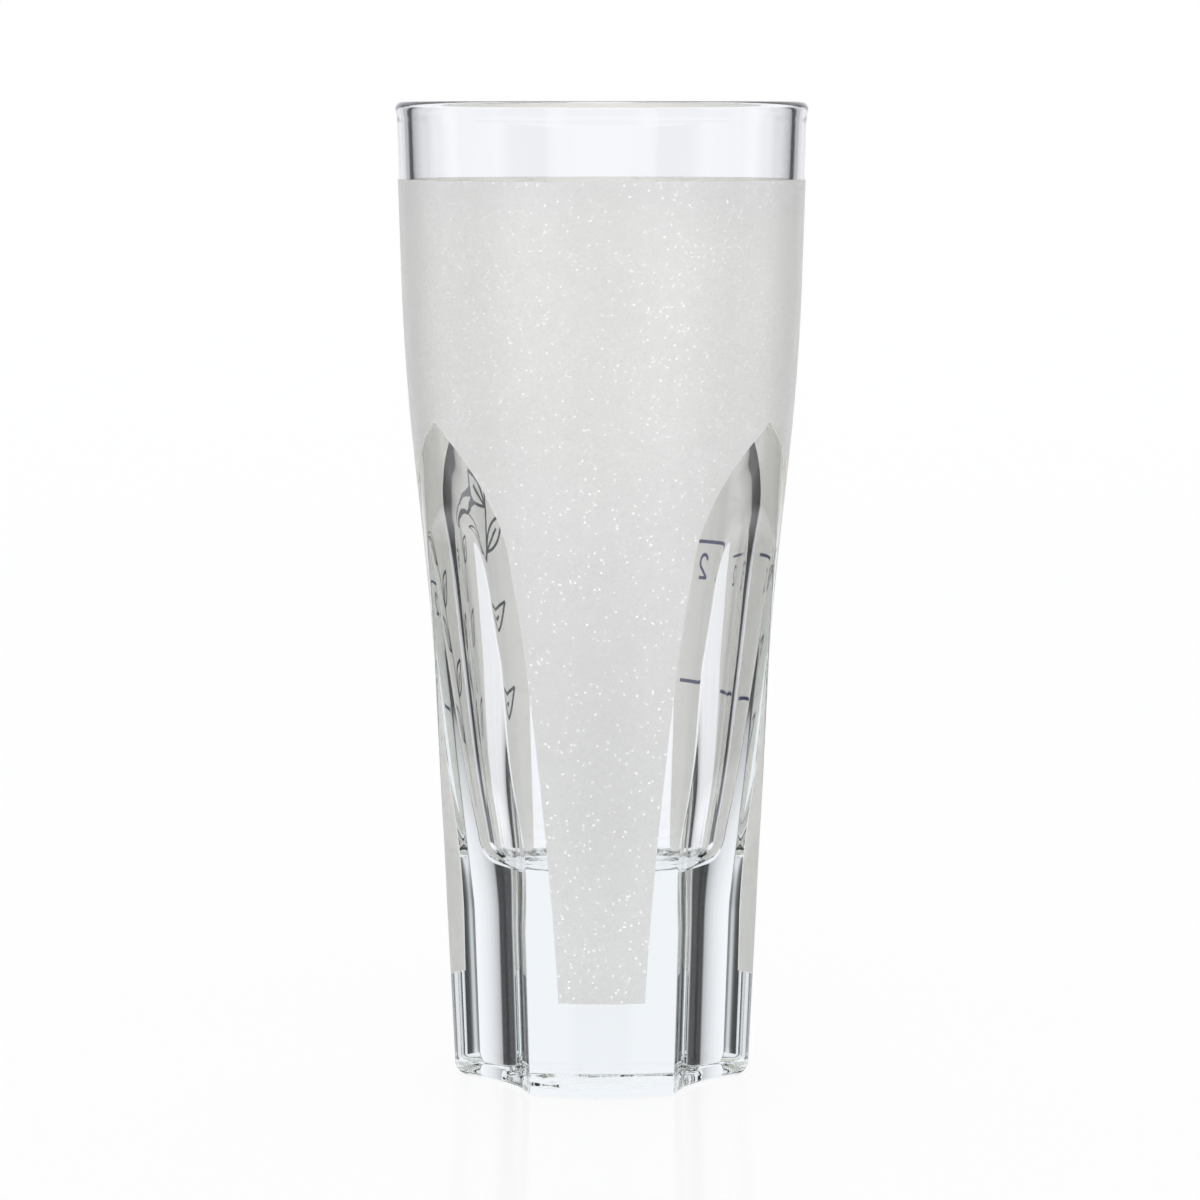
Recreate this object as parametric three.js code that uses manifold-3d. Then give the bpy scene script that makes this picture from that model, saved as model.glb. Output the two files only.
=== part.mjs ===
// Tall pressed liqueur glass: a round flared bowl on a thick solid foot, three flutes with
// pointed tops in its lower two thirds, hollow at the foot and flat above, a satin frosted
// coat on the lands between them, and two printed fill lines on the land at the right rear.
// Millimetres, +Z up. The glass stands on z = 0 and its front land faces -Y.
import * as THREE from 'three';
import { mergeVertices } from 'three/addons/utils/BufferGeometryUtils.js';
import Module from 'manifold-3d';

const wasm = await Module();
wasm.setup();

// Outside of the glass, as radii at heights
const HEIGHT = 111.4;
const FOOT_RADIUS = 16.85;
const FOOT_EDGE_ROUND = 1.5;
const SHANK_RADIUS = 19.1;
const SHANK_TOP = 48;
const BOWL_RADIUS = 22.64;
const BOWL_START = 92;
const SHANK_EASE = 16;
const BOWL_EASE = 20;

// Fire-polished rim: a full round lip, a little proud of the neck
const RIM_RADIUS = 23.4;
const LIP_PROUD = 0.2;
const LIP_THICKNESS = 1.8;
const LIP_STEP = 1.1;
const NECK_RADIUS = RIM_RADIUS - LIP_PROUD;

// Shallow moulded hollow under the foot
const PUNT_RADIUS = 9.6;
const PUNT_DEPTH = 0.5;
const PUNT_SLOPE = 0.8;

// Cavity: a cone that eases into the rim
const CAVITY_FLOOR = 25;
const CAVITY_CORNER = 3.2;
const CAVITY_FOOT_RADIUS = 11.6;
const CAVITY_WAIST_RADIUS = 16.7;
const CAVITY_WAIST = 70;
const RIM_BORE_HEIGHT = 101;
const RIM_WALL = 1.65;
const RIM_BORE_TAPER = 0.04;

// Flutes: a scoop, round at the foot, that flattens as it follows the cavity wall and runs out
const FLUTE_COUNT = 3;
const FLUTE_SECTION_RADIUS = 21;
const FLUTE_FOOT_RADIUS = 12.5;
const FLUTE_FOOT_TAPER = 0.034;
const FLUTE_EDGE_ROUND = 1.2;
const FLUTE_BEND = 30;
const FLUTE_BEND_REACH = 11;
const FLUTE_WALL = 3.35;
const FLUTE_RUNOUT = 57;
const FLUTE_RUNOUT_RADIUS = 60;

// Frosted coat: a thin film with pointed windows round the flutes
const COAT_TOP = 102.6;
const COAT_END = 10.95;
const COAT_THICKNESS = 0.1;
const BOND_GAP = 0.02;
const WINDOW_APEX = 75.6;
const WINDOW_RISE = 16.3;
const WINDOW_HALF_WIDTH = 9.9;
const WINDOW_END_HALF_WIDTH = 12;

// Fill lines, inlaid in the coat
const LINE_WIDTH = 0.4;
const LINE_HALF_SWEEP = 20;
const UPPER_LINE_HEIGHT = 60.1;
const LOWER_LINE_HEIGHT = 43;
const PRINT_CLEARANCE = 0.05;

// Fineness of the facets
const ROUND_SEGMENTS = 72;
const SHOULDER_STEPS = 8;
const BORE_STEPS = 5;
const EDGE_STEPS = 4;
const BEND_STEPS = 8;
const LIP_STEPS = 8;
const CORNER_STEPS = 4;
const SECTION_STEPS = 22;
const RUNOUT_STEPS = 8;
const WINDOW_STEPS = 8;
const FLANK_STEPS = 6;

// Ways past a surface that a cutting body needs
const OVERRUN = 2;
const FLUTE_CUT_HALF_WIDTH = 0.75 * FLUTE_SECTION_RADIUS;
const CUT_REACH = 3 * RIM_RADIUS;

const LAND_PITCH = (2 * Math.PI) / FLUTE_COUNT;
const QUARTER_TURN = Math.PI / 2;

// Points of an arc in a profile plane, ends included
function arc(x, y, radius, from, to, steps) {
  const points = [];
  for (let i = 0; i <= steps; i += 1) {
    const angle = from + ((to - from) * i) / steps;
    points.push(new THREE.Vector2(x + radius * Math.cos(angle), y + radius * Math.sin(angle)));
  }
  return points;
}

// A smooth bend between two straight stretches, leaving each along its own taper
function ease(start, startTaper, startReach, end, endTaper, endReach, steps) {
  const leave = new THREE.Vector2(start.x + startTaper * startReach, start.y + startReach);
  const arrive = new THREE.Vector2(end.x - endTaper * endReach, end.y - endReach);
  return new THREE.CubicBezierCurve(start, leave, arrive, end).getPoints(steps);
}

// Outer wall from the top of the foot's rounding to the neck under the rim
const NECK = HEIGHT - LIP_THICKNESS / 2 - LIP_STEP;
const footCorner = new THREE.Vector2(FOOT_RADIUS, FOOT_EDGE_ROUND);
const shankTop = new THREE.Vector2(SHANK_RADIUS, SHANK_TOP);
const bowlStart = new THREE.Vector2(BOWL_RADIUS, BOWL_START);
const neck = new THREE.Vector2(NECK_RADIUS, NECK);
const shankTaper = (SHANK_RADIUS - FOOT_RADIUS) / (SHANK_TOP - FOOT_EDGE_ROUND);
const bowlTaper = (NECK_RADIUS - BOWL_RADIUS) / (NECK - BOWL_START);
const shoulder = ease(shankTop, shankTaper, SHANK_EASE, bowlStart, bowlTaper, BOWL_EASE, SHOULDER_STEPS);
const outerWall = [footCorner, ...shoulder, neck];

// Cavity wall from the rim down to the rounded corner of its floor
const cavityFoot = new THREE.Vector2(CAVITY_FOOT_RADIUS, CAVITY_FLOOR + CAVITY_CORNER);
const cavityWaist = new THREE.Vector2(CAVITY_WAIST_RADIUS, CAVITY_WAIST);
const cavityTaper = (cavityWaist.x - cavityFoot.x) / (cavityWaist.y - cavityFoot.y);
const rimBore = new THREE.Vector2(radiusAt(outerWall, RIM_BORE_HEIGHT) - RIM_WALL, RIM_BORE_HEIGHT);
const boreReach = (RIM_BORE_HEIGHT - CAVITY_WAIST) / 3;
const bore = ease(cavityWaist, cavityTaper, boreReach, rimBore, RIM_BORE_TAPER, boreReach, BORE_STEPS);

// Radius of a profile at a height, on the straight line between its points
function radiusAt(profile, height) {
  let i = 1;
  while (i < profile.length - 1 && profile[i].y < height) {
    i += 1;
  }
  const low = profile[i - 1];
  const high = profile[i];
  return low.x + ((high.x - low.x) * (height - low.y)) / (high.y - low.y);
}

// A geometry as a solid that can be joined and cut
function solidOf(geometry) {
  const bare = new THREE.BufferGeometry();
  bare.setAttribute('position', geometry.getAttribute('position').clone());
  bare.setIndex(geometry.index ? geometry.index.clone() : null);
  const merged = mergeVertices(bare, 1e-4);
  const index = merged.index.array;
  const triangles = [];
  for (let i = 0; i < index.length; i += 3) {
    const [a, b, c] = [index[i], index[i + 1], index[i + 2]];
    if (a !== b && b !== c && c !== a) {
      triangles.push(a, b, c);
    }
  }
  return new wasm.Manifold(new wasm.Mesh({
    numProp: 3,
    vertProperties: new Float32Array(merged.getAttribute('position').array),
    triVerts: new Uint32Array(triangles),
  }));
}

// A finished solid as a named mesh
function meshOf(name, solid, material) {
  const { vertProperties, triVerts } = solid.getMesh();
  const geometry = new THREE.BufferGeometry();
  geometry.setAttribute('position', new THREE.BufferAttribute(new Float32Array(vertProperties), 3));
  geometry.setIndex(new THREE.BufferAttribute(new Uint32Array(triVerts), 1));
  geometry.computeVertexNormals();
  const mesh = new THREE.Mesh(geometry, material);
  mesh.name = name;
  return mesh;
}

// A profile turned about the Z axis, with its first column at the front
function revolve(profile) {
  return new THREE.LatheGeometry(profile, ROUND_SEGMENTS).rotateX(QUARTER_TURN);
}

// Rings of equally many points, one above the other, skinned and capped
function loft(rings) {
  const count = rings[0].length;
  const positions = rings.flat().flatMap((point) => point.toArray());
  const index = [];
  for (let row = 0; row < rings.length - 1; row += 1) {
    for (let i = 0; i < count; i += 1) {
      const a = row * count + i;
      const b = row * count + ((i + 1) % count);
      index.push(a, b, b + count, a, b + count, a + count);
    }
  }
  const top = (rings.length - 1) * count;
  for (let i = 1; i < count - 1; i += 1) {
    index.push(0, i + 1, i, top, top + i, top + i + 1);
  }
  const geometry = new THREE.BufferGeometry();
  geometry.setAttribute('position', new THREE.Float32BufferAttribute(positions, 3));
  geometry.setIndex(index);
  return geometry;
}

// Whole section of the pressed glass, from under the foot over the rim to the cavity floor
function glassProfile() {
  const lip = LIP_THICKNESS / 2;
  const lipCentre = new THREE.Vector2(RIM_RADIUS - lip, HEIGHT - lip);
  const corner = arc(
    cavityFoot.x - CAVITY_CORNER, cavityFoot.y, CAVITY_CORNER, 0, -QUARTER_TURN, CORNER_STEPS,
  );
  const footEdge = arc(
    footCorner.x - FOOT_EDGE_ROUND, footCorner.y, FOOT_EDGE_ROUND, -QUARTER_TURN, 0, EDGE_STEPS,
  );
  return [
    new THREE.Vector2(0, PUNT_DEPTH),
    new THREE.Vector2(PUNT_RADIUS, PUNT_DEPTH),
    new THREE.Vector2(PUNT_RADIUS + PUNT_SLOPE, 0),
    ...footEdge,
    ...outerWall.slice(1),
    ...arc(lipCentre.x, lipCentre.y, lip, 0, Math.PI, LIP_STEPS),
    ...bore.slice(1).reverse(),
    cavityWaist,
    ...corner,
    new THREE.Vector2(0, CAVITY_FLOOR),
  ];
}

// Heights between which the flute's floor bends outwards
const bendLow = FLUTE_BEND - FLUTE_BEND_REACH;
const bendHigh = FLUTE_BEND + FLUTE_BEND_REACH;

// Height from which the flute is flat, half-way from the bend to the run-out
const fluteFlat = (bendHigh + FLUTE_RUNOUT) / 2;

// Line of the flute's deepest points, from under the foot to its run-out above the shoulder
function fluteFloor() {
  const footAt = (height) => FLUTE_FOOT_RADIUS + FLUTE_FOOT_TAPER * height;
  const wallAt = (height) => CAVITY_FOOT_RADIUS + cavityTaper * (height - cavityFoot.y) + FLUTE_WALL;
  const edge = arc(
    footAt(0) - FLUTE_EDGE_ROUND, FLUTE_EDGE_ROUND, FLUTE_EDGE_ROUND, -QUARTER_TURN, 0, EDGE_STEPS,
  );
  const bend = ease(
    new THREE.Vector2(footAt(bendLow), bendLow), FLUTE_FOOT_TAPER, FLUTE_BEND_REACH,
    new THREE.Vector2(wallAt(bendHigh), bendHigh), cavityTaper, FLUTE_BEND_REACH, BEND_STEPS,
  );
  const flat = new THREE.Vector2(wallAt(fluteFlat), fluteFlat);
  const lean = Math.atan(cavityTaper);
  const start = new THREE.Vector2(wallAt(FLUTE_RUNOUT), FLUTE_RUNOUT);
  const centre = new THREE.Vector2(
    start.x + FLUTE_RUNOUT_RADIUS * Math.cos(lean), start.y - FLUTE_RUNOUT_RADIUS * Math.sin(lean),
  );
  const clear = Math.acos((centre.x - RIM_RADIUS - OVERRUN) / FLUTE_RUNOUT_RADIUS);
  const runout = arc(
    centre.x, centre.y, FLUTE_RUNOUT_RADIUS, Math.PI - lean, Math.PI - clear, RUNOUT_STEPS,
  );
  return [new THREE.Vector2(edge[0].x, -OVERRUN), ...edge, ...bend, flat, ...runout];
}

// How far the flute's section has risen from its floor at an offset from the middle:
// an arc below the bend that flattens upwards
function fluteRise(offset, height) {
  const share = (fluteFlat - height) / (fluteFlat - bendLow);
  const curvature = THREE.MathUtils.clamp(share, 0, 1) / FLUTE_SECTION_RADIUS;
  return (curvature * offset ** 2) / (1 + Math.sqrt(1 - (curvature * offset) ** 2));
}

// Body that scoops one flute: sections whose near side follows the flute's floor
function fluteCutter(angle) {
  const rings = fluteFloor().map(({ x: floor, y: height }) => {
    const ring = [
      new THREE.Vector3(-FLUTE_CUT_HALF_WIDTH, -CUT_REACH, height),
      new THREE.Vector3(FLUTE_CUT_HALF_WIDTH, -CUT_REACH, height),
    ];
    for (let i = 0; i <= SECTION_STEPS; i += 1) {
      const offset = FLUTE_CUT_HALF_WIDTH * (1 - (2 * i) / SECTION_STEPS);
      ring.push(new THREE.Vector3(offset, -floor - fluteRise(offset, height), height));
    }
    return ring;
  });
  return solidOf(loft(rings).rotateZ(angle));
}

// Film on the outer wall between two heights, as a closed ring
function film(low, high) {
  const between = outerWall.filter((point) => point.y > low && point.y < high).map((point) => point.y);
  const heights = [low, ...between, high];
  const face = (offset) => heights.map(
    (height) => new THREE.Vector2(radiusAt(outerWall, height) + offset, height),
  );
  const inside = face(BOND_GAP);
  const outside = face(BOND_GAP + COAT_THICKNESS);
  return solidOf(revolve([...outside, ...inside.reverse(), outside[0]]));
}

// Right half of a window's outline: a flank that bows inwards to the spring of a pointed arch
function windowEdge() {
  const spring = WINDOW_APEX - WINDOW_RISE;
  const radius = (WINDOW_HALF_WIDTH ** 2 + WINDOW_RISE ** 2) / (2 * WINDOW_HALF_WIDTH);
  const inset = radius - WINDOW_HALF_WIDTH;
  const apex = Math.atan2(WINDOW_RISE, inset);
  const flank = new THREE.QuadraticBezierCurve(
    new THREE.Vector2(WINDOW_END_HALF_WIDTH, COAT_END),
    new THREE.Vector2(WINDOW_END_HALF_WIDTH, (COAT_END + spring) / 2),
    new THREE.Vector2(WINDOW_HALF_WIDTH, spring),
  );
  return [
    new THREE.Vector2(WINDOW_END_HALF_WIDTH, COAT_END - OVERRUN),
    ...flank.getPoints(FLANK_STEPS),
    ...arc(-inset, spring, radius, 0, apex, WINDOW_STEPS).slice(1),
  ];
}

// Body that cuts one pointed window in the coat, looking straight into the flute
function windowCutter(angle) {
  const right = windowEdge();
  const left = right.slice(0, -1).map((point) => new THREE.Vector2(-point.x, point.y));
  const outline = new THREE.Shape([...right, ...left.reverse()]);
  const prism = new THREE.ExtrudeGeometry(outline, { depth: CUT_REACH, bevelEnabled: false });
  return solidOf(prism.rotateX(QUARTER_TURN).rotateZ(angle));
}

// Slice of a cake about the Z axis, centred on an angle, between two heights
function slice(angle, halfSweep, low, high) {
  const spoke = (turn) => new THREE.Vector2(CUT_REACH * Math.sin(turn), -CUT_REACH * Math.cos(turn));
  const axis = new THREE.Vector2(0, 0);
  const outline = new THREE.Shape([axis, spoke(angle - halfSweep), spoke(angle + halfSweep)]);
  const prism = new THREE.ExtrudeGeometry(outline, { depth: high - low, bevelEnabled: false });
  return solidOf(prism.translate(0, 0, low));
}

// One fill line at a height, grown on all sides by an allowance
function fillLine(height, allowance) {
  const low = height - LINE_WIDTH / 2 - allowance;
  const high = height + LINE_WIDTH / 2 + allowance;
  const halfSweep = THREE.MathUtils.degToRad(LINE_HALF_SWEEP) + allowance / radiusAt(outerWall, height);
  return { low, high, cutter: slice(LAND_PITCH, halfSweep, low, high) };
}

// Glass: the turned blank with its flutes scooped out
function makeGlass() {
  let solid = solidOf(revolve(glassProfile()));
  for (let i = 0; i < FLUTE_COUNT; i += 1) {
    solid = solid.subtract(fluteCutter((i + 0.5) * LAND_PITCH));
  }
  return solid;
}

// Coat: the film with its windows, and with room for the fill lines
function makeCoat() {
  let solid = film(COAT_END, COAT_TOP);
  for (let i = 0; i < FLUTE_COUNT; i += 1) {
    solid = solid.subtract(windowCutter((i + 0.5) * LAND_PITCH));
  }
  for (const height of [UPPER_LINE_HEIGHT, LOWER_LINE_HEIGHT]) {
    solid = solid.subtract(fillLine(height, PRINT_CLEARANCE).cutter);
  }
  return solid;
}

// Fill line: a strip of the film
function makeFillLine(height) {
  const { low, high, cutter } = fillLine(height, 0);
  return film(low, high).intersect(cutter);
}

const clearGlass = new THREE.MeshStandardMaterial({ color: 0xe9efec, roughness: 0.04, metalness: 0 });
const satinFrost = new THREE.MeshStandardMaterial({ color: 0xdfe1df, roughness: 0.65, metalness: 0 });
const blueInk = new THREE.MeshStandardMaterial({ color: 0x34386b, roughness: 0.45, metalness: 0 });

const liqueurGlass = new THREE.Group();
liqueurGlass.add(
  meshOf('glass_body', makeGlass(), clearGlass),
  meshOf('frosted_coating', makeCoat(), satinFrost),
  meshOf('fill_line_upper', makeFillLine(UPPER_LINE_HEIGHT), blueInk),
  meshOf('fill_line_lower', makeFillLine(LOWER_LINE_HEIGHT), blueInk),
);

export default liqueurGlass;
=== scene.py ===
"""A tall liqueur glass in a white studio: fluted clear glass, satin frost, fill lines and a printed sprig.

Sizes are in millimetres, the frame's unit is the metre, +Z is up and the front land faces -Y.
"""
import math

import bpy
import numpy as np
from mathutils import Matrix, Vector


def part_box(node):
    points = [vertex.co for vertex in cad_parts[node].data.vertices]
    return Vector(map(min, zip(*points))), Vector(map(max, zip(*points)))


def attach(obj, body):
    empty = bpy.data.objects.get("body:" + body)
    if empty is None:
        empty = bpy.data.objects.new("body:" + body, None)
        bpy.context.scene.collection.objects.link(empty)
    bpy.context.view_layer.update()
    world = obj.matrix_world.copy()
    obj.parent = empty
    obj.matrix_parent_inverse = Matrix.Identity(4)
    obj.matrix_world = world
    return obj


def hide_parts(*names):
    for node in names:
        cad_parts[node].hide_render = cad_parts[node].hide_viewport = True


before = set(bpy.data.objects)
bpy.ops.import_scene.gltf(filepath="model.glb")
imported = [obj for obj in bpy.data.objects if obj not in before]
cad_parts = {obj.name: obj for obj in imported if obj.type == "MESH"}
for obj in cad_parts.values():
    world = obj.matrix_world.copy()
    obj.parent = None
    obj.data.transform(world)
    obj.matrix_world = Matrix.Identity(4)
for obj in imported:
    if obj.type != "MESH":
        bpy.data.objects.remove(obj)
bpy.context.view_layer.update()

MM = 0.001
glass_low, glass_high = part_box("glass_body")
coat_low, coat_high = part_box("frosted_coating")
upper_low, upper_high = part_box("fill_line_upper")
lower_low, lower_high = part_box("fill_line_lower")

# Outside of the glass
HEIGHT = (glass_high.z - glass_low.z) / MM
RIM_RADIUS = glass_high.x / MM
FOOT_RADIUS = 16.85
FOOT_EDGE = 1.5
SHANK_RADIUS = 19.1
SHANK_TOP = 48
BOWL_RADIUS = 22.64
BOWL_START = 92
LIP_PROUD = 0.2
NECK_RADIUS = RIM_RADIUS - LIP_PROUD
SHANK_EASE = 16
BOWL_EASE = 20
LIP_THICKNESS = 1.8
LIP_STEP = 1.1
NECK = HEIGHT - LIP_THICKNESS / 2 - LIP_STEP

# Hollow under the foot. Waves round its edge and crest are (height, waves per turn, shift),
# and its wrinkles are crossing waves as (strength, turn per mm across, turn per mm forward, shift)
PUNT_RADIUS = 7.0
PUNT_DEPTH = 0.5
PUNT_STEP = 0.25
PUNT_WAVES = [(0.7, 3, 1), (0.4, 5, 2.2), (0.2, 13, 0)]
CREASE_WIDTH = 0.9
CREASE_HEIGHT = 0.3
CREASE_WAVES = [(0.3, 6, 0), (0.3, 11, 1)]
WRINKLE_HEIGHT = 0.032
WRINKLE_WAVES = [(1, 1.3, 0.7, 1), (1, -0.8, 1.9, 2), (0.7, 2.6, -1.1, 0), (0.7, 1.7, 2.8, 4),
                 (0.5, -3.9, 1.2, 5)]

# Cavity
CAVITY_FLOOR = 25
CAVITY_CORNER = 3.2
CAVITY_FOOT_RADIUS = 11.6
CAVITY_FOOT = CAVITY_FLOOR + CAVITY_CORNER
CAVITY_WAIST_RADIUS = 16.7
CAVITY_WAIST = 70
CAVITY_TAPER = (CAVITY_WAIST_RADIUS - CAVITY_FOOT_RADIUS) / (CAVITY_WAIST - CAVITY_FOOT)
RIM_BORE_HEIGHT = 101
RIM_WALL = 1.65
RIM_BORE_TAPER = 0.04

# Flutes
FLUTES = 3
PERIOD = 2 * math.pi / FLUTES
FLUTE_SECTION = 21
FLUTE_FOOT_RADIUS = 12.5
FLUTE_FOOT_TAPER = 0.034
FLUTE_EDGE = 0.3
FLUTE_BEND = 30
FLUTE_BEND_REACH = 11
FLUTE_WALL = 3.35
FLUTE_RUNOUT = 57
FLUTE_RUNOUT_RADIUS = 60
NEARLY_FLAT = 4000
ARRIS_ROUND = 0.12
SOFT_FROM = 62
SOFT_TOP = 69
SOFT_ROUND = 1.0

# Frosted coat
COAT_TOP = coat_high.z / MM
COAT_END = coat_low.z / MM
COAT_THICKNESS = 0.1
BOND_GAP = 0.02
WINDOW_APEX = 75.6
WINDOW_RISE = 16.3
WINDOW_SPRING = WINDOW_APEX - WINDOW_RISE
WINDOW_HALF_WIDTH = 9.9
WINDOW_END_HALF_WIDTH = 12

# Fill lines, on the land at the right rear
LINE_HALF_SWEEP = math.radians(20)
LINE_WIDTH = 0.4
INK_SINK = 0.03
INK_PROUD = 0.14

# Printed figure under the upper line: a bow between two angles, a slant and a foot
NUMERAL_WIDTH = 1.9
NUMERAL_HEIGHT = 2.8
NUMERAL_LEFT = -0.45 * NUMERAL_WIDTH
NUMERAL_RIGHT = 0.55 * NUMERAL_WIDTH
BOW_START = math.radians(160)
BOW_END = math.radians(-35)
NUMERAL_ANGLE = math.radians(130)
NUMERAL_RISE = 57.6

# Printed sprig on the land at the left rear
SPRIG_LOW = 31
SPRIG_HIGH = 86
SPRIG_SWAY = 1.8
SPRIG_LEAVES = 9
SPRIG_LINE = 0.38
FIRST_LEAF = SPRIG_LOW + 7
LAST_LEAF = SPRIG_HIGH - 6
LEAF_LENGTH = 7.0
LEAF_WIDTH = 2.4
LEAF_RISE = math.radians(38)
LEAF_FULLNESS = 1.25
LEAF_NARROWING = 0.5
BERRY_RADIUS = 1.1
BERRY_PLACES = [(-1.6, 1.4), (1.5, 1.8), (0.1, 3.9)]

# Materials of the coat's mesh, in their order
FROST_FACE, FROST_BACK, VIOLET_INK, SLATE_INK = range(4)

# Fineness of the meshes
LAND_STEPS = 28
MARGIN_STEPS = 8
FLUTE_STEPS = 40
ROW_STEP = 0.5
CAVITY_ROW_STEP = 1.0
BEND_POINTS = 120
FOOT_EDGE_STEPS = 8
LIP_STEPS = 14
CORNER_STEPS = 12
PUNT_ROWS = 20
LINE_STEPS = 40
CURVE_POINTS = 14
STROKE_POINTS = 5
STEM_POINTS = 60
VEIN_POINTS = 9
BERRY_POINTS = 17
SHARP_ANGLE = math.radians(35)
NEAR = 1e-6


def bezier(start, leave, arrive, end, t):
    """Points of a cubic curve at the values t."""
    t = np.asarray(t)[:, None]
    return ((1 - t) ** 3 * start + 3 * t * (1 - t) ** 2 * leave
            + 3 * t ** 2 * (1 - t) * arrive + t ** 3 * end)


def eased(low, low_taper, low_reach, high, high_taper, high_reach):
    """A bend between two straight stretches, as heights and radii for interpolation."""
    low, high = np.array(low, float), np.array(high, float)
    leave = low + low_reach * np.array([low_taper, 1])
    arrive = high - high_reach * np.array([high_taper, 1])
    points = bezier(low, leave, arrive, high, np.linspace(0, 1, BEND_POINTS))
    return points[:, 1], points[:, 0]


SHANK_TAPER = (SHANK_RADIUS - FOOT_RADIUS) / (SHANK_TOP - FOOT_EDGE)
BOWL_TAPER = (NECK_RADIUS - BOWL_RADIUS) / (NECK - BOWL_START)
SHOULDER = eased((SHANK_RADIUS, SHANK_TOP), SHANK_TAPER, SHANK_EASE,
                 (BOWL_RADIUS, BOWL_START), BOWL_TAPER, BOWL_EASE)


def wall_radius(z):
    """Radius of the outer wall at height z, without the flutes."""
    if z < FOOT_EDGE:
        return FOOT_RADIUS - FOOT_EDGE + math.sqrt(FOOT_EDGE ** 2 - (FOOT_EDGE - z) ** 2)
    if z < SHANK_TOP:
        return FOOT_RADIUS + SHANK_TAPER * (z - FOOT_EDGE)
    if z < BOWL_START:
        return float(np.interp(z, *SHOULDER))
    if z < NECK:
        return BOWL_RADIUS + BOWL_TAPER * (z - BOWL_START)
    return NECK_RADIUS + (RIM_RADIUS - NECK_RADIUS) * (z - NECK) / LIP_STEP


BORE_REACH = (RIM_BORE_HEIGHT - CAVITY_WAIST) / 3
BORE = eased((CAVITY_WAIST_RADIUS, CAVITY_WAIST), CAVITY_TAPER, BORE_REACH,
             (wall_radius(RIM_BORE_HEIGHT) - RIM_WALL, RIM_BORE_HEIGHT), RIM_BORE_TAPER, BORE_REACH)


def cavity_radius(z):
    """Radius of the cavity's wall at height z, above its rounded corner."""
    if z < CAVITY_WAIST:
        return CAVITY_FOOT_RADIUS + CAVITY_TAPER * (z - CAVITY_FOOT)
    if z < RIM_BORE_HEIGHT:
        return float(np.interp(z, *BORE))
    share = (z - RIM_BORE_HEIGHT) / (HEIGHT - LIP_THICKNESS / 2 - RIM_BORE_HEIGHT)
    bore_top = wall_radius(RIM_BORE_HEIGHT) - RIM_WALL
    return bore_top + (RIM_RADIUS - LIP_THICKNESS - bore_top) * share


def flute_foot(z):
    """Straight lower stretch of the flute's floor line."""
    return FLUTE_FOOT_RADIUS + FLUTE_FOOT_TAPER * z


def flute_parallel(z):
    """Stretch of the flute's floor line that follows the cavity's wall."""
    return CAVITY_FOOT_RADIUS + CAVITY_TAPER * (z - CAVITY_FOOT) + FLUTE_WALL


BEND_LOW = FLUTE_BEND - FLUTE_BEND_REACH
BEND_HIGH = FLUTE_BEND + FLUTE_BEND_REACH
BEND = eased((flute_foot(BEND_LOW), BEND_LOW), FLUTE_FOOT_TAPER, FLUTE_BEND_REACH,
             (flute_parallel(BEND_HIGH), BEND_HIGH), CAVITY_TAPER, FLUTE_BEND_REACH)
FLUTE_FLAT = (BEND_HIGH + FLUTE_RUNOUT) / 2
LEAN = math.atan(CAVITY_TAPER)
RUNOUT_X = flute_parallel(FLUTE_RUNOUT) + FLUTE_RUNOUT_RADIUS * math.cos(LEAN)
RUNOUT_Z = FLUTE_RUNOUT - FLUTE_RUNOUT_RADIUS * math.sin(LEAN)


def flute_floor(z):
    """Distance from the axis to the deepest point of a flute at height z."""
    if z < FLUTE_EDGE:
        return flute_foot(0) - FLUTE_EDGE + math.sqrt(FLUTE_EDGE ** 2 - (FLUTE_EDGE - z) ** 2)
    if z < BEND_LOW:
        return flute_foot(z)
    if z < BEND_HIGH:
        return float(np.interp(z, *BEND))
    if z < FLUTE_RUNOUT:
        return flute_parallel(z)
    return RUNOUT_X - math.sqrt(FLUTE_RUNOUT_RADIUS ** 2 - (z - RUNOUT_Z) ** 2)


def flute_section(z):
    """Radius of the flute's section at height z, which flattens upwards."""
    share = min(1.0, (FLUTE_FLAT - z) / (FLUTE_FLAT - BEND_LOW))
    return FLUTE_SECTION / max(share, FLUTE_SECTION / NEARLY_FLAT)


def flute_half_angle(z):
    """Half of the angle that a flute spans at height z, 0 above its pointed top."""
    radius = wall_radius(z)
    section = flute_section(z)
    centre = flute_floor(z) + section
    cosine = (radius ** 2 + centre ** 2 - section ** 2) / (2 * radius * centre)
    return math.acos(min(1.0, cosine))


def window_half_angle(z):
    """Half of the angle that the coat's pointed window spans at height z, 0 above its apex."""
    if z >= WINDOW_APEX:
        return 0.0
    if z > WINDOW_SPRING:
        arc = (WINDOW_HALF_WIDTH ** 2 + WINDOW_RISE ** 2) / (2 * WINDOW_HALF_WIDTH)
        half = WINDOW_HALF_WIDTH - arc + math.sqrt(arc ** 2 - (z - WINDOW_SPRING) ** 2)
    else:
        share = (z - COAT_END) / (WINDOW_SPRING - COAT_END)
        half = WINDOW_END_HALF_WIDTH - (WINDOW_END_HALF_WIDTH - WINDOW_HALF_WIDTH) * share ** 2
    return math.asin(min(1.0, half / wall_radius(z)))


# Columns of the mesh near and above the pointed tops
FLUTE_MIN = math.radians(0.5)
SOFT_HALF_ANGLE = math.radians(8)
SOFT_WINDOW_SHARE = 0.6
WINDOW_MIN = math.radians(1.2)
OPEN_AGAIN = 14.0
OPEN_WINDOW = math.radians(24)
OPEN_FLUTE = math.radians(16)


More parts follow.
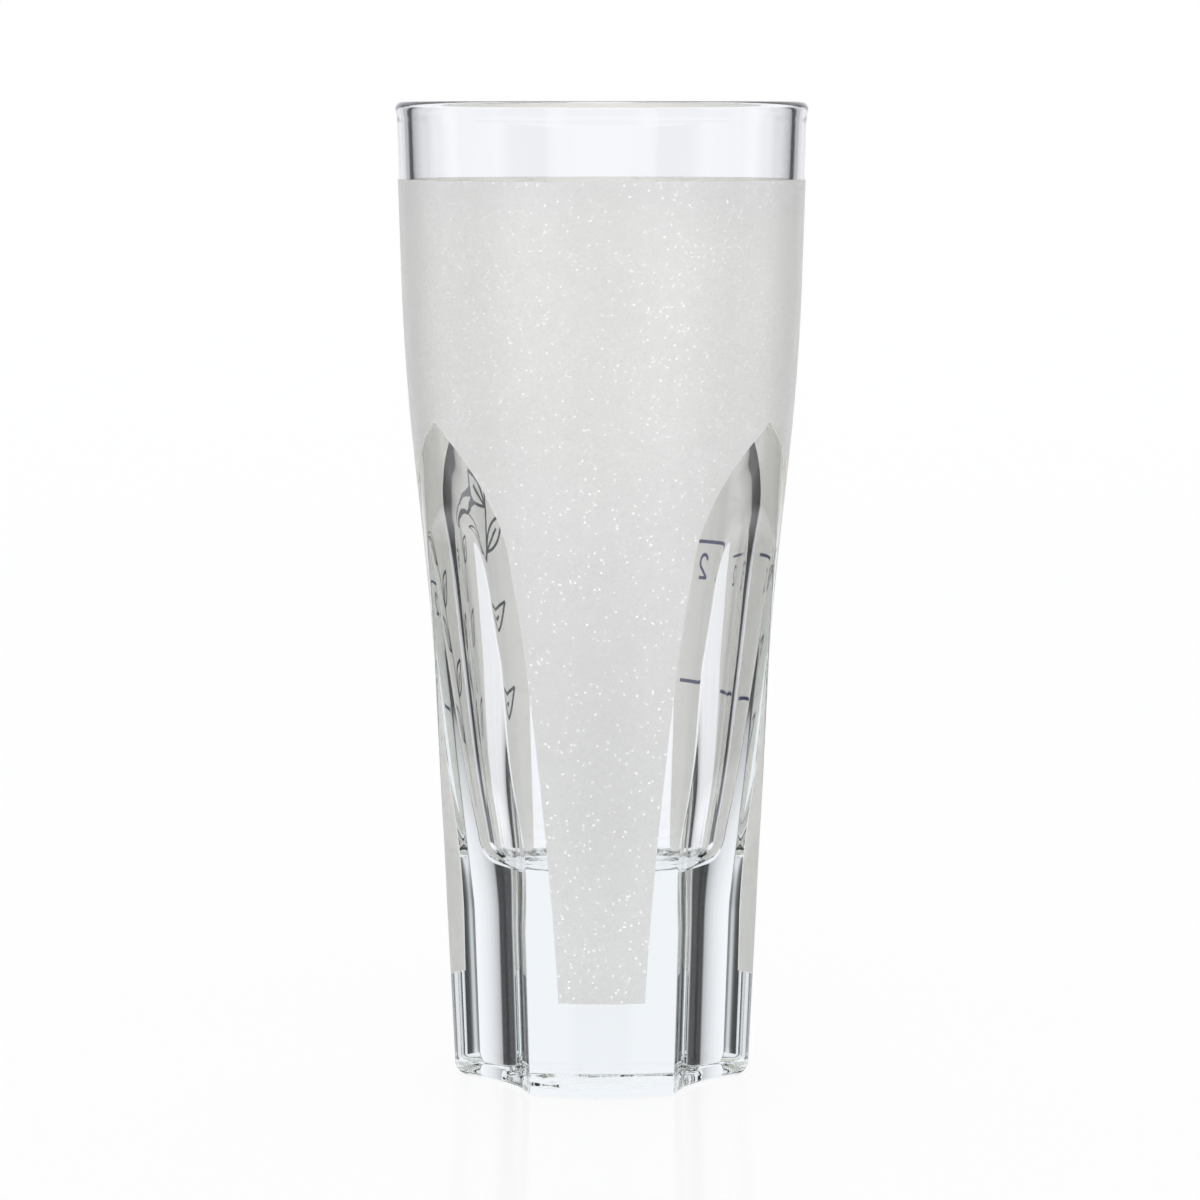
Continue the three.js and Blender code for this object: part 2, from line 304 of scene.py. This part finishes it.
def column_limits(z):
    """Half angles of the flute's and the window's columns. Above the arch the columns spread out again."""
    soft = min(SOFT_HALF_ANGLE, SOFT_WINDOW_SHARE * window_half_angle(z))
    flute = max(flute_half_angle(z), soft, FLUTE_MIN)
    window = max(window_half_angle(z), flute + FLUTE_MIN, WINDOW_MIN)
    spread = min(1.0, max(0.0, (z - WINDOW_APEX) / OPEN_AGAIN))
    return flute + (OPEN_FLUTE - FLUTE_MIN) * spread, window + (OPEN_WINDOW - WINDOW_MIN) * spread


def row_angles(z):
    """Angles of a row's columns, from the front land's left edge round the glass."""
    flute, window = column_limits(z)
    land = PERIOD / 2 - window
    across = np.linspace(-land, land, LAND_STEPS, endpoint=False)
    near = (np.arange(MARGIN_STEPS) / MARGIN_STEPS) ** 2
    far = 1 - (1 - np.arange(MARGIN_STEPS) / MARGIN_STEPS) ** 2
    scoop = -np.cos(math.pi * np.arange(FLUTE_STEPS) / FLUTE_STEPS)
    middle = PERIOD / 2
    period = np.concatenate([
        across,
        middle - window + (window - flute) * far,
        middle + flute * scoop,
        middle + flute + (window - flute) * near,
    ])
    return np.concatenate([period + PERIOD * i for i in range(FLUTES)])


def row_radii(z, angles):
    """Radii of the fluted outside at those angles. Its arrises are crisp below and melt away at the top."""
    round_wall = wall_radius(z)
    from_middle = (angles + PERIOD) % PERIOD - PERIOD / 2
    section = flute_section(z)
    centre = flute_floor(z) + section
    inside = section ** 2 - (centre * np.sin(from_middle)) ** 2
    scoop = centre * np.cos(from_middle) - np.sqrt(np.maximum(inside, 0))
    scoop = np.where(inside > 0, scoop, round_wall + SOFT_ROUND)
    soft = np.interp(z, [SOFT_FROM, SOFT_TOP], [ARRIS_ROUND, SOFT_ROUND])
    blend = np.maximum(soft - np.abs(scoop - round_wall), 0) / soft
    return np.minimum(scoop, round_wall) - blend ** 2 * soft / 4


def heights(stops, step):
    """Heights through all the stops, at most a step apart."""
    found = [stops[0]]
    for low, high in zip(stops, stops[1:]):
        count = max(1, math.ceil((high - low) / step))
        found.extend(low + (high - low) * i / count for i in range(1, count + 1))
    return found


def ring(radii, angles, z):
    """Points of one row, in metres."""
    radii = np.broadcast_to(radii, angles.shape)
    z = np.broadcast_to(z, angles.shape)
    return np.stack([radii * np.sin(angles), -radii * np.cos(angles), z], axis=1) * MM


COLUMNS = FLUTES * (LAND_STEPS + 2 * MARGIN_STEPS + FLUTE_STEPS)


def is_coated(column, low, high):
    """Whether the frost covers the face right of a column, between two rows."""
    if low < COAT_END - NEAR or high > COAT_TOP + NEAR:
        return False
    on_land = column % (COLUMNS // FLUTES) < LAND_STEPS
    return on_land or low > WINDOW_APEX - NEAR


def outer_heights():
    """Heights of the outer rows, from the foot's rounded edge to the lip."""
    turns = [math.pi / 2 * i / FOOT_EDGE_STEPS for i in range(FOOT_EDGE_STEPS)]
    edge = [FOOT_EDGE * (1 - math.cos(turn)) for turn in turns]
    stops = [FOOT_EDGE, COAT_END, FLUTE_RUNOUT, WINDOW_SPRING, WINDOW_APEX, COAT_TOP, NECK]
    return edge + heights(stops, ROW_STEP)


def new_object(name, vertices, faces, materials, indices):
    """A smooth mesh object with sharp creases and one material index for each face."""
    mesh = bpy.data.meshes.new(name)
    mesh.from_pydata([tuple(v) for v in vertices], [], faces)
    for material in materials:
        mesh.materials.append(material)
    mesh.polygons.foreach_set("material_index", indices)
    mesh.polygons.foreach_set("use_smooth", [True] * len(faces))
    mesh.set_sharp_from_angle(angle=SHARP_ANGLE)
    made = bpy.data.objects.new(name, mesh)
    bpy.context.scene.collection.objects.link(made)
    return made


def glass_rows():
    """Rows of points from the foot's edge over the rim to the cavity's floor, and the outer heights."""
    outer = outer_heights()
    rows = []
    for z in outer:
        angles = row_angles(z)
        rows.append(ring(row_radii(z, angles), angles, z))
    lip = LIP_THICKNESS / 2
    for i in range(LIP_STEPS + 1):
        turn = math.pi * i / LIP_STEPS
        radius = RIM_RADIUS - lip + lip * math.cos(turn)
        rows.append(ring(radius, angles, HEIGHT - lip + lip * math.sin(turn)))
    bore = heights([CAVITY_FOOT, CAVITY_WAIST, RIM_BORE_HEIGHT, HEIGHT - lip], CAVITY_ROW_STEP)
    rows.extend(ring(cavity_radius(z), angles, z) for z in reversed(bore[:-1]))
    for i in range(1, CORNER_STEPS + 1):
        turn = math.pi / 2 * i / CORNER_STEPS
        radius = CAVITY_FOOT_RADIUS - CAVITY_CORNER + CAVITY_CORNER * math.cos(turn)
        rows.append(ring(radius, angles, CAVITY_FOOT - CAVITY_CORNER * math.sin(turn)))
    return rows, outer


def wrinkles(across, forward):
    """Height of the wrinkles that glass gets as it cools on a plate: a few crossing waves."""
    return WRINKLE_HEIGHT * sum(strength * np.sin(turn_across * across + turn_forward * forward + shift)
                                for strength, turn_across, turn_forward, shift in WRINKLE_WAVES)


def waves_round(angles, waves):
    """Sum of waves that go round the glass."""
    return sum(height * np.sin(count * angles + shift) for height, count, shift in waves)


def punt_rows(angles):
    """Rows under the foot, from the middle of the wrinkled hollow out to the crease round it."""
    edge = PUNT_RADIUS + waves_round(angles, PUNT_WAVES)
    rows = []
    for share in np.linspace(0, 1, PUNT_ROWS + 1)[1:]:
        radii = edge * share
        dome = PUNT_STEP + PUNT_DEPTH * (1 - share ** 2)
        rows.append(ring(radii, angles, dome + wrinkles(radii * np.sin(angles), radii * np.cos(angles))))
    crest = PUNT_STEP + CREASE_HEIGHT * (1 + waves_round(angles, CREASE_WAVES))
    rows.append(ring(edge + CREASE_WIDTH / 2, angles, crest))
    rows.append(ring(edge + CREASE_WIDTH, angles, 0.0))
    return rows


def make_glass(materials):
    """The fluted glass as one closed mesh. Faces under the coat have the bonded material."""
    rows, outer = glass_rows()
    under = punt_rows(row_angles(0.0))
    first_outer = len(under)
    rows = under + rows
    vertices = [Vector((0, 0, (PUNT_STEP + PUNT_DEPTH) * MM)), *np.concatenate(rows)]
    faces, indices = [], []
    for row in range(len(rows) - 1):
        level = row - first_outer
        for i in range(COLUMNS):
            a = 1 + row * COLUMNS + i
            b = 1 + row * COLUMNS + (i + 1) % COLUMNS
            faces.append((a, b, b + COLUMNS, a + COLUMNS))
            coated = 0 <= level < len(outer) - 1 and is_coated(i, outer[level], outer[level + 1])
            indices.append(1 if coated else 0)
    last = 1 + (len(rows) - 1) * COLUMNS
    vertices.append(Vector((0, 0, CAVITY_FLOOR * MM)))
    for i in range(COLUMNS):
        j = (i + 1) % COLUMNS
        faces.append((0, 1 + j, 1 + i))
        faces.append((last + i, last + j, len(vertices) - 1))
        indices.extend([0, 0])
    return new_object("fluted_glass", vertices, faces, materials, indices)


def add_film(parts, points, faces, inside, outside, front, back):
    """Add a thin closed film on the outer wall to a mesh's parts: vertices, faces and material indices.

    Points are (angle, height), and inside and outside are offsets from the wall. The outer face takes
    the front material, the inner face and the edges take the back one.
    """
    all_vertices, all_faces, indices = parts
    first = len(all_vertices)
    angles = np.array([p[0] for p in points])
    z = np.array([p[1] for p in points])
    radii = np.array([wall_radius(h) for h in z])
    all_vertices.extend(np.concatenate([ring(radii + outside, angles, z), ring(radii + inside, angles, z)]))
    count = len(points)
    edges = dict.fromkeys(edge for face in faces for edge in zip(face, face[1:] + face[:1]))
    sides = [(b, a, a + count, b + count) for a, b in edges if (b, a) not in edges]
    inner = [tuple(count + v for v in reversed(face)) for face in faces]
    all_faces.extend(tuple(first + v for v in face) for face in [*faces, *inner, *sides])
    indices.extend([front] * len(faces) + [back] * (len(inner) + len(sides)))


def ribbon(path, width):
    """A flat band along a path of (across, height) points: its points and faces."""
    path = np.array(path, float)
    along = np.gradient(path, axis=0)
    side = np.stack([-along[:, 1], along[:, 0]], axis=1)
    side *= width / 2 / np.linalg.norm(side, axis=1, keepdims=True)
    count = len(path)
    faces = [(i, i + 1, count + i + 1, count + i) for i in range(count - 1)]
    return np.concatenate([path - side, path + side]), faces


def numeral_paths():
    """The two strokes of a plain figure 2 for the upper fill line."""
    turn = np.linspace(BOW_START, BOW_END, CURVE_POINTS)
    bow = NUMERAL_WIDTH / 2 * np.stack([np.cos(turn), np.sin(turn)], axis=1)
    foot = NUMERAL_WIDTH / 2 - NUMERAL_HEIGHT
    left = (NUMERAL_LEFT, foot)
    right = (NUMERAL_RIGHT, foot)
    slant = np.linspace(bow[-1], left, STROKE_POINTS)[1:]
    return [[*bow, *slant], np.linspace(left, right, STROKE_POINTS)]


def sprig_stem(z):
    """How far across the land the sprig's stem is at height z."""
    return SPRIG_SWAY * math.sin(2 * math.pi * (z - SPRIG_LOW) / (SPRIG_HIGH - SPRIG_LOW))


def sprig_paths():
    """Lines of a sprig: a swaying stem, leaves in turn to either side, and berries at its tip."""
    stem = [(sprig_stem(z), z) for z in np.linspace(SPRIG_LOW, SPRIG_HIGH, STEM_POINTS)]
    paths = [stem]
    along = np.linspace(0, 1, CURVE_POINTS)
    bulge = np.sin(math.pi * along) * (LEAF_FULLNESS - LEAF_NARROWING * along)
    for i, z in enumerate(np.linspace(FIRST_LEAF, LAST_LEAF, SPRIG_LEAVES)):
        way = 1 if i % 2 else -1
        out = np.array([way * math.cos(LEAF_RISE), math.sin(LEAF_RISE)])
        up = np.array([-out[1], out[0]])
        base = np.array([sprig_stem(z), z])
        middle = base + LEAF_LENGTH * along[:, None] * out
        for edge in (1, -1):
            paths.append(middle + edge * LEAF_WIDTH / 2 * bulge[:, None] * up)
        paths.append(middle[:VEIN_POINTS])
    turn = np.linspace(0, 2 * math.pi, BERRY_POINTS)
    for across, rise in BERRY_PLACES:
        centre = np.array([sprig_stem(SPRIG_HIGH) + across, SPRIG_HIGH + rise])
        paths.append(centre + BERRY_RADIUS * np.stack([np.cos(turn), np.sin(turn)], axis=1))
    return paths


def add_print(parts, path, middle, rise, width, ink):
    """Print a path on the coat, at an angle round the glass and a height."""
    points, faces = ribbon(path, width)
    placed = [(middle + across / wall_radius(rise + z), rise + z) for across, z in points]
    add_film(parts, placed, faces, INK_SINK, INK_PROUD, ink, ink)


def make_coat(materials):
    """The frosted film on the lands and the bowl, with a figure and a sprig printed on it."""
    outer = [z for z in outer_heights() if COAT_END - NEAR < z < COAT_TOP + NEAR]
    points, faces, used = [], [], {}

    def corner(row, column):
        key = (row, column % COLUMNS)
        if key not in used:
            used[key] = len(points)
            points.append((angles_of[row][key[1]], outer[row]))
        return used[key]

    angles_of = [row_angles(z) for z in outer]
    for row in range(len(outer) - 1):
        for i in range(COLUMNS):
            if is_coated(i, outer[row], outer[row + 1]):
                face = (corner(row, i), corner(row, i + 1), corner(row + 1, i + 1), corner(row + 1, i))
                faces.append(face)
    parts = [], [], []
    add_film(parts, points, faces, BOND_GAP, BOND_GAP + COAT_THICKNESS, FROST_FACE, FROST_BACK)
    for path in numeral_paths():
        add_print(parts, path, NUMERAL_ANGLE, NUMERAL_RISE, LINE_WIDTH, VIOLET_INK)
    for path in sprig_paths():
        add_print(parts, path, 2 * PERIOD, 0, SPRIG_LINE, SLATE_INK)
    return new_object("satin_frost", parts[0], parts[1], materials, parts[2])


def make_line(name, low, high, materials):
    """One fill line as a strip of ink set in the coat, on the land a period round from the front."""
    points = []
    for angle in np.linspace(PERIOD - LINE_HALF_SWEEP, PERIOD + LINE_HALF_SWEEP, LINE_STEPS + 1):
        points.extend([(angle, low), (angle, high)])
    faces = [(2 * i, 2 * i + 2, 2 * i + 3, 2 * i + 1) for i in range(LINE_STEPS)]
    parts = [], [], []
    add_film(parts, points, faces, INK_SINK, INK_PROUD, 0, 0)
    return new_object(name, parts[0], parts[1], materials, parts[2])


def new_material(name):
    """An empty node material and its output node."""
    material = bpy.data.materials.new(name)
    material.use_nodes = True
    tree = material.node_tree
    tree.nodes.clear()
    return material, tree, tree.nodes.new("ShaderNodeOutputMaterial")


def math_node(tree, operation, *values):
    """A Math node's result. Each value is a number or an output socket."""
    node = tree.nodes.new("ShaderNodeMath")
    node.operation = operation
    for slot, value in zip(node.inputs, values):
        if isinstance(value, (int, float)):
            slot.default_value = value
        else:
            tree.links.new(value, slot)
    return node.outputs[0]


# Clear glass
WHITE = (1, 1, 1, 1)
GLASS_IOR = 1.52
GREEN_TINT = (0.67, 0.77, 0.755, 1)
TINT_DENSITY = 10


def add_tint(tree, output):
    """The faint green of thick glass."""
    volume = tree.nodes.new("ShaderNodeVolumeAbsorption")
    volume.inputs["Color"].default_value = GREEN_TINT
    volume.inputs["Density"].default_value = TINT_DENSITY
    tree.links.new(volume.outputs[0], output.inputs["Volume"])


def clear_glass():
    """Polished glass with its faint tint."""
    material, tree, output = new_material("clear_glass")
    body = tree.nodes.new("ShaderNodeBsdfPrincipled")
    body.inputs["Base Color"].default_value = WHITE
    body.inputs["Roughness"].default_value = 0
    body.inputs["IOR"].default_value = GLASS_IOR
    body.inputs["Transmission Weight"].default_value = 1
    tree.links.new(body.outputs[0], output.inputs["Surface"])
    add_tint(tree, output)
    return material


def bonded_glass():
    """Glass under the coat: no air gap, so light goes straight through to the frost."""
    material, tree, output = new_material("bonded_glass")
    through = tree.nodes.new("ShaderNodeBsdfTransparent")
    tree.links.new(through.outputs[0], output.inputs["Surface"])
    add_tint(tree, output)
    return material


# Frosted coat and inks
WARM_BACK = (1, 0.985, 0.96, 1)
FROST_COLOUR = WHITE
FROST_SHADE = (0.925, 0.925, 0.92, 1)
FROST_ROUGHNESS = 0.26
FROST_IOR = 2.2
FROST_THROUGH = 0.47
GRAIN_PER_METRE = 4200
GRAIN_DETAIL = 3
GRAIN_DEPTH = 0.00003
GRAIN_SHARE = 0.85
CLOUDS_PER_METRE = 90
CLOUD_DETAIL = 2
CLOUD_SHARE = 0.35
TONE_CONTRAST = 2.4
TONE_SHIFT = -1.0
SPECKS_PER_METRE = 1300
SPECK_SIZE = 0.18
SPECK_THROUGH = 0.07
VIOLET = (0.11, 0.12, 0.33, 1)
VIOLET_WORN = (0.26, 0.27, 0.5, 1)
SLATE = (0.04, 0.055, 0.085, 1)
SLATE_WORN = (0.13, 0.15, 0.19, 1)
INK_ROUGHNESS = 0.45
WEAR_PER_METRE = 2400
WEAR_DETAIL = 3
WEAR_CONTRAST = 2.4
WEAR_SHIFT = -0.9


def coat_back():
    """Back and edges of the coat, in contact with the glass."""
    material, tree, output = new_material("coat_back")
    through = tree.nodes.new("ShaderNodeBsdfTransparent")
    through.inputs["Color"].default_value = WARM_BACK
    tree.links.new(through.outputs[0], output.inputs["Surface"])
    return material


def noise(tree, place, scale, detail):
    """A noise pattern's value at a place."""
    node = tree.nodes.new("ShaderNodeTexNoise")
    node.inputs["Scale"].default_value = scale
    node.inputs["Detail"].default_value = detail
    tree.links.new(place, node.inputs["Vector"])
    return node.outputs["Fac"]


def satin_frost():
    """Pale film with a fine grain, faint clouds and bright specks, that lets half of the light through."""
    material, tree, output = new_material("satin_frost")
    place = tree.nodes.new("ShaderNodeTexCoord").outputs["Object"]
    grain = noise(tree, place, GRAIN_PER_METRE, GRAIN_DETAIL)
    clouds = noise(tree, place, CLOUDS_PER_METRE, CLOUD_DETAIL)
    cells = tree.nodes.new("ShaderNodeTexVoronoi")
    cells.inputs["Scale"].default_value = SPECKS_PER_METRE
    tree.links.new(place, cells.inputs["Vector"])
    specks = math_node(tree, "LESS_THAN", cells.outputs["Distance"], SPECK_SIZE)
    cloudy = math_node(tree, "MULTIPLY", clouds, CLOUD_SHARE)
    tone = math_node(tree, "MULTIPLY_ADD", grain, GRAIN_SHARE, cloudy)
    spread = math_node(tree, "MULTIPLY_ADD", tone, TONE_CONTRAST, TONE_SHIFT)
    spread = math_node(tree, "MAXIMUM", spread, specks)
    colour = tree.nodes.new("ShaderNodeMixRGB")
    colour.inputs[1].default_value = FROST_SHADE
    colour.inputs[2].default_value = FROST_COLOUR
    tree.links.new(spread, colour.inputs[0])
    bump = tree.nodes.new("ShaderNodeBump")
    bump.inputs["Strength"].default_value = 1
    bump.inputs["Distance"].default_value = GRAIN_DEPTH
    tree.links.new(grain, bump.inputs["Height"])
    front = tree.nodes.new("ShaderNodeBsdfPrincipled")
    front.inputs["Roughness"].default_value = FROST_ROUGHNESS
    front.inputs["IOR"].default_value = FROST_IOR
    through = tree.nodes.new("ShaderNodeBsdfTranslucent")
    mix = tree.nodes.new("ShaderNodeMixShader")
    share = math_node(tree, "MULTIPLY_ADD", specks, SPECK_THROUGH - FROST_THROUGH, FROST_THROUGH)
    tree.links.new(share, mix.inputs[0])
    tree.links.new(colour.outputs[0], front.inputs["Base Color"])
    tree.links.new(colour.outputs[0], through.inputs["Color"])
    tree.links.new(bump.outputs[0], front.inputs["Normal"])
    tree.links.new(front.outputs[0], mix.inputs[1])
    tree.links.new(through.outputs[0], mix.inputs[2])
    tree.links.new(mix.outputs[0], output.inputs["Surface"])
    return material


def fired_ink(name, colour, worn_colour):
    """Fired ink, a little worn where the grain of the frost shows through it."""
    material, tree, output = new_material(name)
    place = tree.nodes.new("ShaderNodeTexCoord").outputs["Object"]
    grain = noise(tree, place, WEAR_PER_METRE, WEAR_DETAIL)
    wear = math_node(tree, "MULTIPLY_ADD", grain, WEAR_CONTRAST, WEAR_SHIFT)
    mix = tree.nodes.new("ShaderNodeMixRGB")
    mix.inputs[1].default_value = colour
    mix.inputs[2].default_value = worn_colour
    tree.links.new(wear, mix.inputs[0])
    body = tree.nodes.new("ShaderNodeBsdfPrincipled")
    body.inputs["Roughness"].default_value = INK_ROUGHNESS
    tree.links.new(mix.outputs[0], body.inputs["Base Color"])
    tree.links.new(body.outputs[0], output.inputs["Surface"])
    return material


def rays_that_see_the_studio(tree):
    """1 for rays from the camera, and for those that gloss or glass sends on."""
    path = tree.nodes.new("ShaderNodeLightPath")
    seen = math_node(tree, "MAXIMUM", path.outputs["Is Camera Ray"], path.outputs["Is Glossy Ray"])
    return math_node(tree, "MAXIMUM", seen, path.outputs["Is Transmission Ray"])


# Floor, in metres
FLOOR_HALF_SIZE = 3
FLOOR_DROP = 0.00002
FLOOR_COLOUR = (0.95, 0.95, 0.95, 1)
FLOOR_ROUGHNESS = 0.07
FLOOR_GLOW = 0.85


def make_floor():
    """A pale, slightly glossy floor that is nearly as white as the backdrop and keeps a faint shadow."""
    low, high = -FLOOR_HALF_SIZE, FLOOR_HALF_SIZE
    mesh = bpy.data.meshes.new("floor")
    mesh.from_pydata([(low, low, 0), (high, low, 0), (high, high, 0), (low, high, 0)], [], [(0, 1, 2, 3)])
    material, tree, output = new_material("floor")
    body = tree.nodes.new("ShaderNodeBsdfPrincipled")
    body.inputs["Base Color"].default_value = FLOOR_COLOUR
    body.inputs["Roughness"].default_value = FLOOR_ROUGHNESS
    white = tree.nodes.new("ShaderNodeEmission")
    mix = tree.nodes.new("ShaderNodeMixShader")
    share = math_node(tree, "MULTIPLY", rays_that_see_the_studio(tree), FLOOR_GLOW)
    tree.links.new(share, mix.inputs[0])
    tree.links.new(body.outputs[0], mix.inputs[1])
    tree.links.new(white.outputs[0], mix.inputs[2])
    tree.links.new(mix.outputs[0], output.inputs["Surface"])
    mesh.materials.append(material)
    floor = bpy.data.objects.new("floor", mesh)
    floor.location.z = -FLOOR_DROP
    floor.visible_glossy = False
    floor.visible_transmission = False
    bpy.context.scene.collection.objects.link(floor)


# Studio seen in and through the glass: levels by degrees from straight behind it, the degrees above
# and below the horizon where they end, and the light that falls on the frost and the floor
PANEL_LEVELS = [(0, 1.0), (15, 1.0), (24, 0.84), (28, 0.66), (32.5, 0.48), (34, 0.04), (41, 0.04),
                (55, 0.1), (60, 0.25), (66, 0.85), (88, 0.85), (94, 0.2), (114, 0.2),
                (122, 0.78), (154, 0.78), (162, 0.1), (180, 0.1)]
STUDIO_TINT = (0.975, 0.985, 1.025, 1)
PANEL_TOP = 17
PANEL_EDGE = 2
FRONT_LIGHT = 2.5
SIDE_LIGHT = 0.57
BACK_LIGHT = 2.2


def grey_ramp(tree, value, stops):
    """A colour ramp of greys over a value from 0 to 1."""
    ramp = tree.nodes.new("ShaderNodeValToRGB")
    elements = ramp.color_ramp.elements
    elements[0].position, elements[1].position = stops[0][0], stops[-1][0]
    elements[0].color = (stops[0][1],) * 3 + (1,)
    elements[1].color = (stops[-1][1],) * 3 + (1,)
    for position, level in stops[1:-1]:
        elements.new(position).color = (level, level, level, 1)
    tree.links.new(value, ramp.inputs[0])
    return ramp.outputs[0]


def make_world():
    """White all round, with dark panels at both sides of the backdrop for what glass shows.

    Light that comes through the glass finds the same panels in front as behind.
    """
    world = bpy.data.worlds.new("studio")
    bpy.context.scene.world = world
    world.use_nodes = True
    tree = world.node_tree
    background = tree.nodes["Background"]
    place = tree.nodes.new("ShaderNodeTexCoord")
    parts = tree.nodes.new("ShaderNodeSeparateXYZ")
    tree.links.new(place.outputs["Generated"], parts.inputs[0])
    sideways = math_node(tree, "ABSOLUTE", parts.outputs["X"])
    azimuth = math_node(tree, "ARCTAN2", sideways, parts.outputs["Y"])
    path = tree.nodes.new("ShaderNodeLightPath")
    # The turn is 0 straight behind, 0.5 at either side and 1 in front. Folded, it is 0 in front as well
    turn = math_node(tree, "DIVIDE", azimuth, math.pi)
    from_side = math_node(tree, "ABSOLUTE", math_node(tree, "SUBTRACT", turn, 0.5))
    folded = math_node(tree, "SUBTRACT", 0.5, from_side)
    turn = math_node(tree, "MULTIPLY_ADD", path.outputs["Is Transmission Ray"],
                     math_node(tree, "SUBTRACT", folded, turn), turn)
    panels = grey_ramp(tree, turn, [(degrees / 180, level) for degrees, level in PANEL_LEVELS])
    rise = math_node(tree, "ARCSINE", math_node(tree, "ABSOLUTE", parts.outputs["Z"]))
    beyond = tree.nodes.new("ShaderNodeMapRange")
    beyond.inputs["From Min"].default_value = math.radians(PANEL_TOP - PANEL_EDGE)
    beyond.inputs["From Max"].default_value = math.radians(PANEL_TOP)
    tree.links.new(rise, beyond.inputs["Value"])
    around = tree.nodes.new("ShaderNodeMixRGB")
    around.inputs[2].default_value = WHITE
    tree.links.new(beyond.outputs[0], around.inputs[0])
    tree.links.new(panels, around.inputs[1])
    tinted = tree.nodes.new("ShaderNodeMixRGB")
    tinted.blend_type = "MULTIPLY"
    tinted.inputs[0].default_value = 1
    tinted.inputs[2].default_value = STUDIO_TINT
    tree.links.new(around.outputs[0], tinted.inputs[1])
    studio = tree.nodes.new("ShaderNodeMixRGB")
    studio.inputs[2].default_value = WHITE
    tree.links.new(path.outputs["Is Camera Ray"], studio.inputs[0])
    tree.links.new(tinted.outputs[0], studio.inputs[1])
    behind = math_node(tree, "MAXIMUM", parts.outputs["Y"], 0)
    ahead = math_node(tree, "MINIMUM", parts.outputs["Y"], 0)
    soft = math_node(tree, "MULTIPLY_ADD", math_node(tree, "MULTIPLY", behind, behind),
                     BACK_LIGHT - SIDE_LIGHT, SIDE_LIGHT)
    soft = math_node(tree, "MULTIPLY_ADD", math_node(tree, "MULTIPLY", ahead, ahead),
                     FRONT_LIGHT - SIDE_LIGHT, soft)
    mix = tree.nodes.new("ShaderNodeMixRGB")
    tree.links.new(path.outputs["Is Diffuse Ray"], mix.inputs[0])
    tree.links.new(studio.outputs[0], mix.inputs[1])
    tree.links.new(soft, mix.inputs[2])
    tree.links.new(mix.outputs[0], background.inputs["Color"])


# Camera, in metres: a long lens level with the rim, tilted down a little. Its length, the half width of
# the picture and the middle's drop below the horizon are in the picture's pixels
CAMERA_DISTANCE = 0.625
CAMERA_HEIGHT = 0.11098
CAMERA_SIDE = -0.0002
LENS = 5500
HALF_PICTURE = 600
HORIZON_DROP = 495
CAMERA_TILT = math.atan(HORIZON_DROP / LENS)
CAMERA_HALF_VIEW = math.atan(HALF_PICTURE / LENS)


def make_camera():
    """The camera at the photograph's viewing angle."""
    data = bpy.data.cameras.new("camera")
    data.sensor_fit = "HORIZONTAL"
    data.angle = 2 * CAMERA_HALF_VIEW
    camera = bpy.data.objects.new("camera", data)
    camera.location = (CAMERA_SIDE, -CAMERA_DISTANCE, CAMERA_HEIGHT)
    camera.rotation_euler = (math.pi / 2 - CAMERA_TILT, 0, 0)
    bpy.context.scene.collection.objects.link(camera)
    bpy.context.scene.camera = camera


def make_piece(piece, node):
    """A finished piece that stands for a CAD node."""
    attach(piece, "root")
    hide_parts(node)


make_camera()
make_world()
make_floor()
violet = fired_ink("violet_ink", VIOLET, VIOLET_WORN)
slate = fired_ink("slate_ink", SLATE, SLATE_WORN)
make_piece(make_glass([clear_glass(), bonded_glass()]), "glass_body")
make_piece(make_coat([satin_frost(), coat_back(), violet, slate]), "frosted_coating")
upper_line = make_line("upper_line_print", upper_low.z / MM, upper_high.z / MM, [violet])
make_piece(upper_line, "fill_line_upper")
lower_line = make_line("lower_line_print", lower_low.z / MM, lower_high.z / MM, [violet])
make_piece(lower_line, "fill_line_lower")

BOUNCES = 24
scene = bpy.context.scene
scene.view_settings.view_transform = "Standard"
scene.cycles.max_bounces = BOUNCES
scene.cycles.transmission_bounces = BOUNCES
scene.cycles.transparent_max_bounces = BOUNCES
